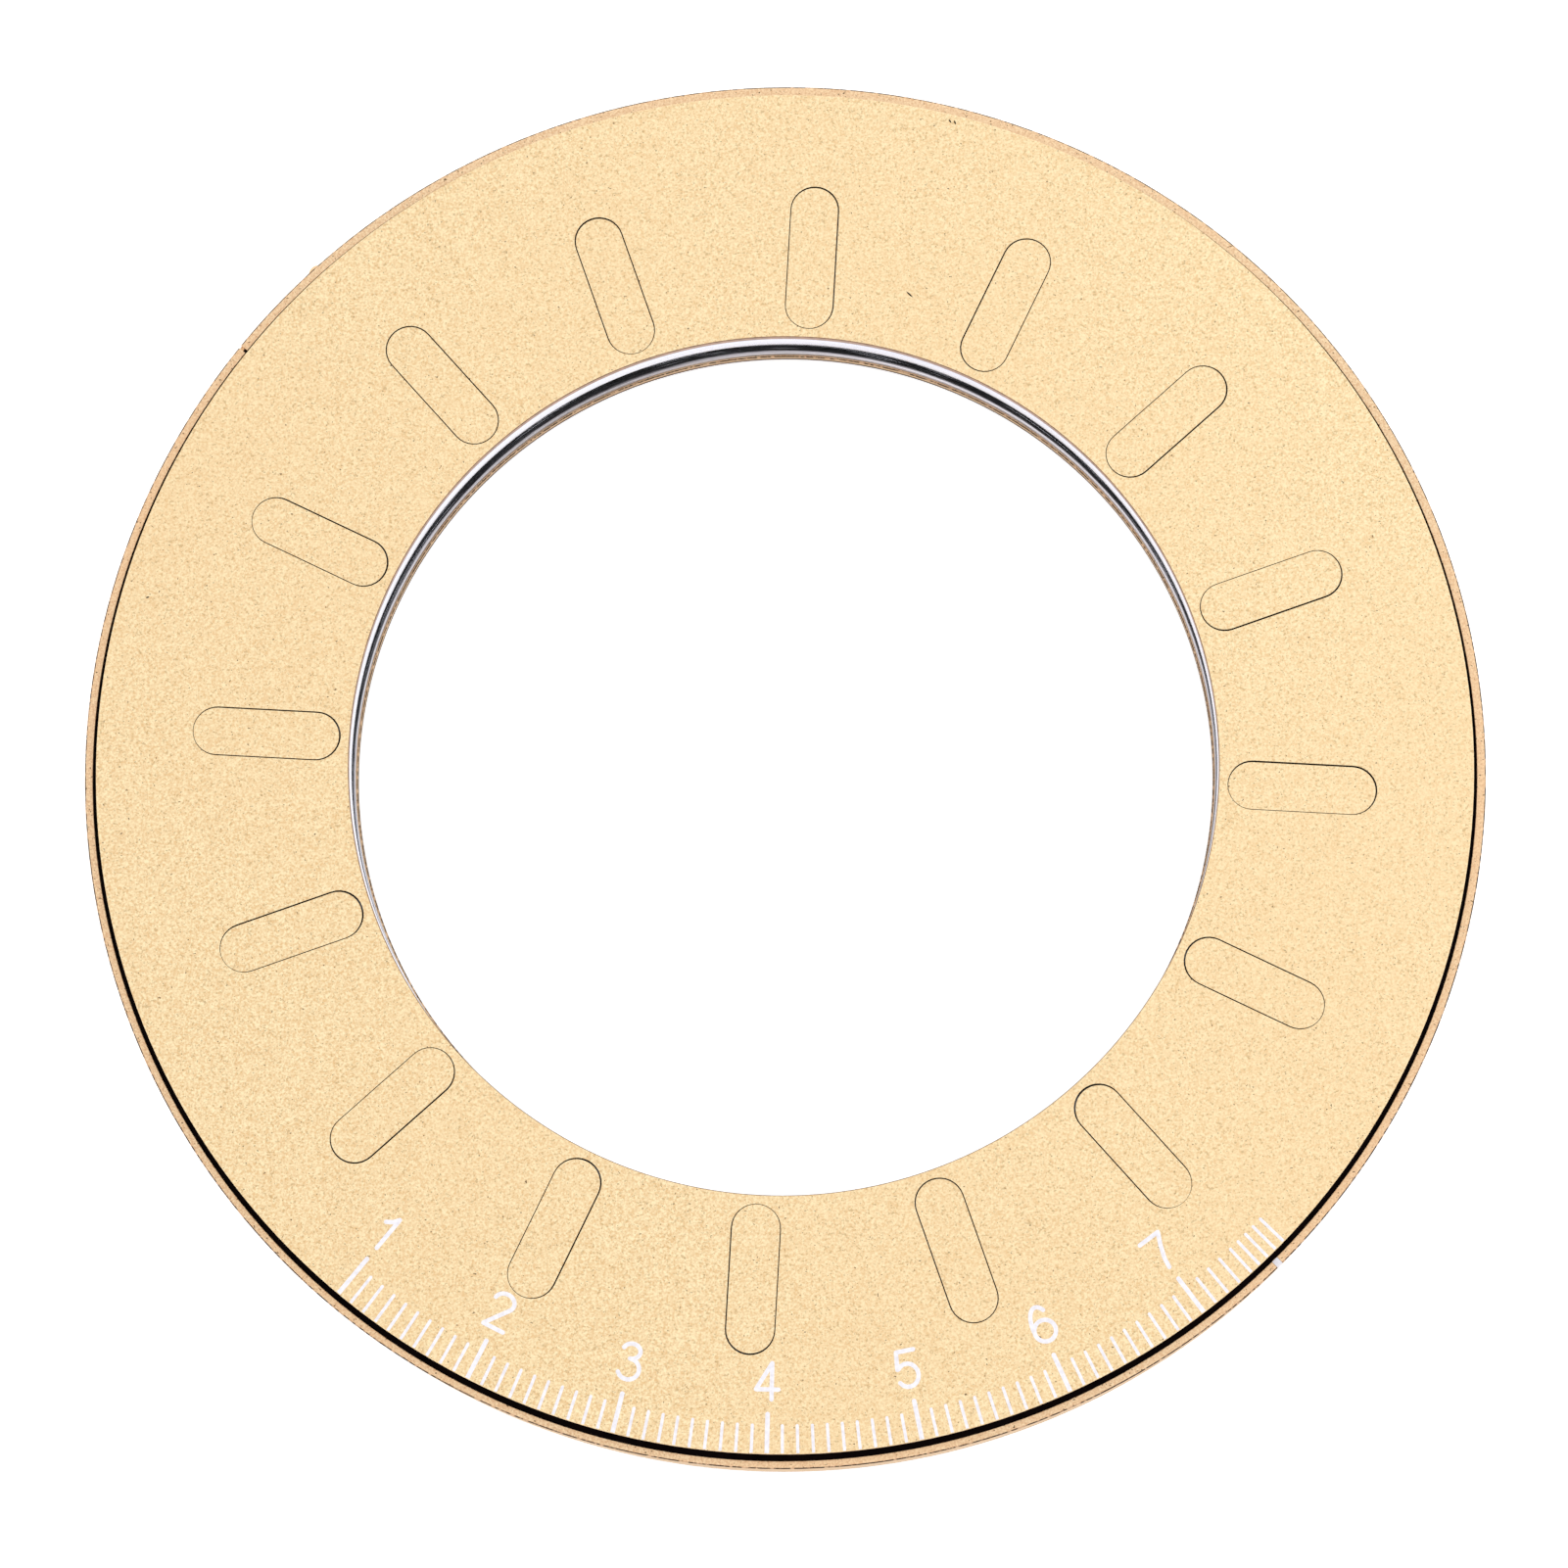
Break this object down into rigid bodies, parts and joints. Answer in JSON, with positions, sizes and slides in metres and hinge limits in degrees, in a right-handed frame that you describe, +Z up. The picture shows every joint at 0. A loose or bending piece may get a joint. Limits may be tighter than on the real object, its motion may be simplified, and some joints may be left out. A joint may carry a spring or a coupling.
{
  "type": "adjustable iris circle template",
  "caption": "Flat ring-shaped circle-drawing template: a graduated dial turns in a shallow tray and closes overlapping iris leaves around a round drawing aperture.",
  "frame": {"origin": "middle of the underside, on the axis of the dial", "axes": "+Z up out of the dial face; -Y towards the reader, the graduated side of the dial; the index notch is at -46 degrees from +X"},
  "size_m": [0.123, 0.123, 0.008],
  "materials": {
    "gold_dial": "fine bead-blasted gold anodising",
    "gold_rim": "turned gold anodising, slightly deeper than the dial",
    "ring_steel": "bright turned steel",
    "leaf_steel": "bright thin spring steel",
    "pin_brass": "turned",
    "blackened_spring": "blackened spring steel",
    "white_enamel": "matt white filling"
  },
  "bodies": {
    "tray": {"base_tray": "gold_rim", "index_mark": "white_enamel", "pivot_ring": "ring_steel", "spacer_ring": "ring_steel", "retaining_ring": "blackened_spring", "stop_pin": "gold_rim"},
    "dial": {"slot_ring": "ring_steel", "dial_plate": "gold_dial", "slot_cover_01": "gold_dial", "slot_cover_02": "gold_dial", "slot_cover_03": "gold_dial", "slot_cover_04": "gold_dial", "slot_cover_05": "gold_dial", "slot_cover_06": "gold_dial", "slot_cover_07": "gold_dial", "slot_cover_08": "gold_dial", "slot_cover_09": "gold_dial", "slot_cover_10": "gold_dial", "slot_cover_11": "gold_dial", "slot_cover_12": "gold_dial", "slot_cover_13": "gold_dial", "slot_cover_14": "gold_dial", "slot_cover_15": "gold_dial", "slot_cover_16": "gold_dial"},
    "iris_leaf_01": {"leaf_01": "leaf_steel", "guide_pin_01": "pin_brass"},
    "iris_leaf_02": {"leaf_02": "leaf_steel", "guide_pin_02": "pin_brass"},
    "iris_leaf_03": {"leaf_03": "leaf_steel", "guide_pin_03": "pin_brass"},
    "iris_leaf_04": {"leaf_04": "leaf_steel", "guide_pin_04": "pin_brass"},
    "iris_leaf_05": {"leaf_05": "leaf_steel", "guide_pin_05": "pin_brass"},
    "iris_leaf_06": {"leaf_06": "leaf_steel", "guide_pin_06": "pin_brass"},
    "iris_leaf_07": {"leaf_07": "leaf_steel", "guide_pin_07": "pin_brass"},
    "iris_leaf_08": {"leaf_08": "leaf_steel", "guide_pin_08": "pin_brass"},
    "iris_leaf_09": {"leaf_09": "leaf_steel", "guide_pin_09": "pin_brass"},
    "iris_leaf_10": {"leaf_10": "leaf_steel", "guide_pin_10": "pin_brass"},
    "iris_leaf_11": {"leaf_11": "leaf_steel", "guide_pin_11": "pin_brass"},
    "iris_leaf_12": {"leaf_12": "leaf_steel", "guide_pin_12": "pin_brass"},
    "iris_leaf_13": {"leaf_13": "leaf_steel", "guide_pin_13": "pin_brass"},
    "iris_leaf_14": {"leaf_14": "leaf_steel", "guide_pin_14": "pin_brass"},
    "iris_leaf_15": {"leaf_15": "leaf_steel", "guide_pin_15": "pin_brass"},
    "iris_leaf_16": {"leaf_16": "leaf_steel", "guide_pin_16": "pin_brass"}
  },
  "joints": [
    {"name": "dial_turn", "type": "hinge", "parent": "tray", "child": "dial", "pos_m": [0, 0, 0], "axis": [0, 0, 1], "range_deg": [-1.4, 83.7]},
    {"name": "leaf_01_swing", "type": "hinge", "parent": "tray", "child": "iris_leaf_01", "pos_m": [0.0258, -0.0376, 0.003], "axis": [0, 0, 1], "range_deg": [-0.71, 42.19]},
    {"name": "leaf_02_swing", "type": "hinge", "parent": "tray", "child": "iris_leaf_02", "pos_m": [0.03823, -0.02486, 0.003], "axis": [0, 0, 1], "range_deg": [-0.71, 42.19]},
    {"name": "leaf_03_swing", "type": "hinge", "parent": "tray", "child": "iris_leaf_03", "pos_m": [0.04483, -0.00834, 0.003], "axis": [0, 0, 1], "range_deg": [-0.71, 42.19]},
    {"name": "leaf_04_swing", "type": "hinge", "parent": "tray", "child": "iris_leaf_04", "pos_m": [0.04461, 0.00945, 0.003], "axis": [0, 0, 1], "range_deg": [-0.71, 42.19]},
    {"name": "leaf_05_swing", "type": "hinge", "parent": "tray", "child": "iris_leaf_05", "pos_m": [0.0376, 0.0258, 0.003], "axis": [0, 0, 1], "range_deg": [-0.71, 42.19]},
    {"name": "leaf_06_swing", "type": "hinge", "parent": "tray", "child": "iris_leaf_06", "pos_m": [0.02486, 0.03823, 0.003], "axis": [0, 0, 1], "range_deg": [-0.71, 42.19]},
    {"name": "leaf_07_swing", "type": "hinge", "parent": "tray", "child": "iris_leaf_07", "pos_m": [0.00834, 0.04483, 0.003], "axis": [0, 0, 1], "range_deg": [-0.71, 42.19]},
    {"name": "leaf_08_swing", "type": "hinge", "parent": "tray", "child": "iris_leaf_08", "pos_m": [-0.00945, 0.04461, 0.003], "axis": [0, 0, 1], "range_deg": [-0.71, 42.19]},
    {"name": "leaf_09_swing", "type": "hinge", "parent": "tray", "child": "iris_leaf_09", "pos_m": [-0.0258, 0.0376, 0.003], "axis": [0, 0, 1], "range_deg": [-0.71, 42.19]},
    {"name": "leaf_10_swing", "type": "hinge", "parent": "tray", "child": "iris_leaf_10", "pos_m": [-0.03823, 0.02486, 0.003], "axis": [0, 0, 1], "range_deg": [-0.71, 42.19]},
    {"name": "leaf_11_swing", "type": "hinge", "parent": "tray", "child": "iris_leaf_11", "pos_m": [-0.04483, 0.00834, 0.003], "axis": [0, 0, 1], "range_deg": [-0.71, 42.19]},
    {"name": "leaf_12_swing", "type": "hinge", "parent": "tray", "child": "iris_leaf_12", "pos_m": [-0.04461, -0.00945, 0.003], "axis": [0, 0, 1], "range_deg": [-0.71, 42.19]},
    {"name": "leaf_13_swing", "type": "hinge", "parent": "tray", "child": "iris_leaf_13", "pos_m": [-0.0376, -0.0258, 0.003], "axis": [0, 0, 1], "range_deg": [-0.71, 42.19]},
    {"name": "leaf_14_swing", "type": "hinge", "parent": "tray", "child": "iris_leaf_14", "pos_m": [-0.02486, -0.03823, 0.003], "axis": [0, 0, 1], "range_deg": [-0.71, 42.19]},
    {"name": "leaf_15_swing", "type": "hinge", "parent": "tray", "child": "iris_leaf_15", "pos_m": [-0.00834, -0.04483, 0.003], "axis": [0, 0, 1], "range_deg": [-0.71, 42.19]},
    {"name": "leaf_16_swing", "type": "hinge", "parent": "tray", "child": "iris_leaf_16", "pos_m": [0.00945, -0.04461, 0.003], "axis": [0, 0, 1], "range_deg": [-0.71, 42.19]}
  ],
  "couplings": [
    {"joint": "leaf_01_swing", "follows": "dial_turn", "ratio": 0.504},
    {"joint": "leaf_02_swing", "follows": "dial_turn", "ratio": 0.504},
    {"joint": "leaf_03_swing", "follows": "dial_turn", "ratio": 0.504},
    {"joint": "leaf_04_swing", "follows": "dial_turn", "ratio": 0.504},
    {"joint": "leaf_05_swing", "follows": "dial_turn", "ratio": 0.504},
    {"joint": "leaf_06_swing", "follows": "dial_turn", "ratio": 0.504},
    {"joint": "leaf_07_swing", "follows": "dial_turn", "ratio": 0.504},
    {"joint": "leaf_08_swing", "follows": "dial_turn", "ratio": 0.504},
    {"joint": "leaf_09_swing", "follows": "dial_turn", "ratio": 0.504},
    {"joint": "leaf_10_swing", "follows": "dial_turn", "ratio": 0.504},
    {"joint": "leaf_11_swing", "follows": "dial_turn", "ratio": 0.504},
    {"joint": "leaf_12_swing", "follows": "dial_turn", "ratio": 0.504},
    {"joint": "leaf_13_swing", "follows": "dial_turn", "ratio": 0.504},
    {"joint": "leaf_14_swing", "follows": "dial_turn", "ratio": 0.504},
    {"joint": "leaf_15_swing", "follows": "dial_turn", "ratio": 0.504},
    {"joint": "leaf_16_swing", "follows": "dial_turn", "ratio": 0.504}
  ]
}
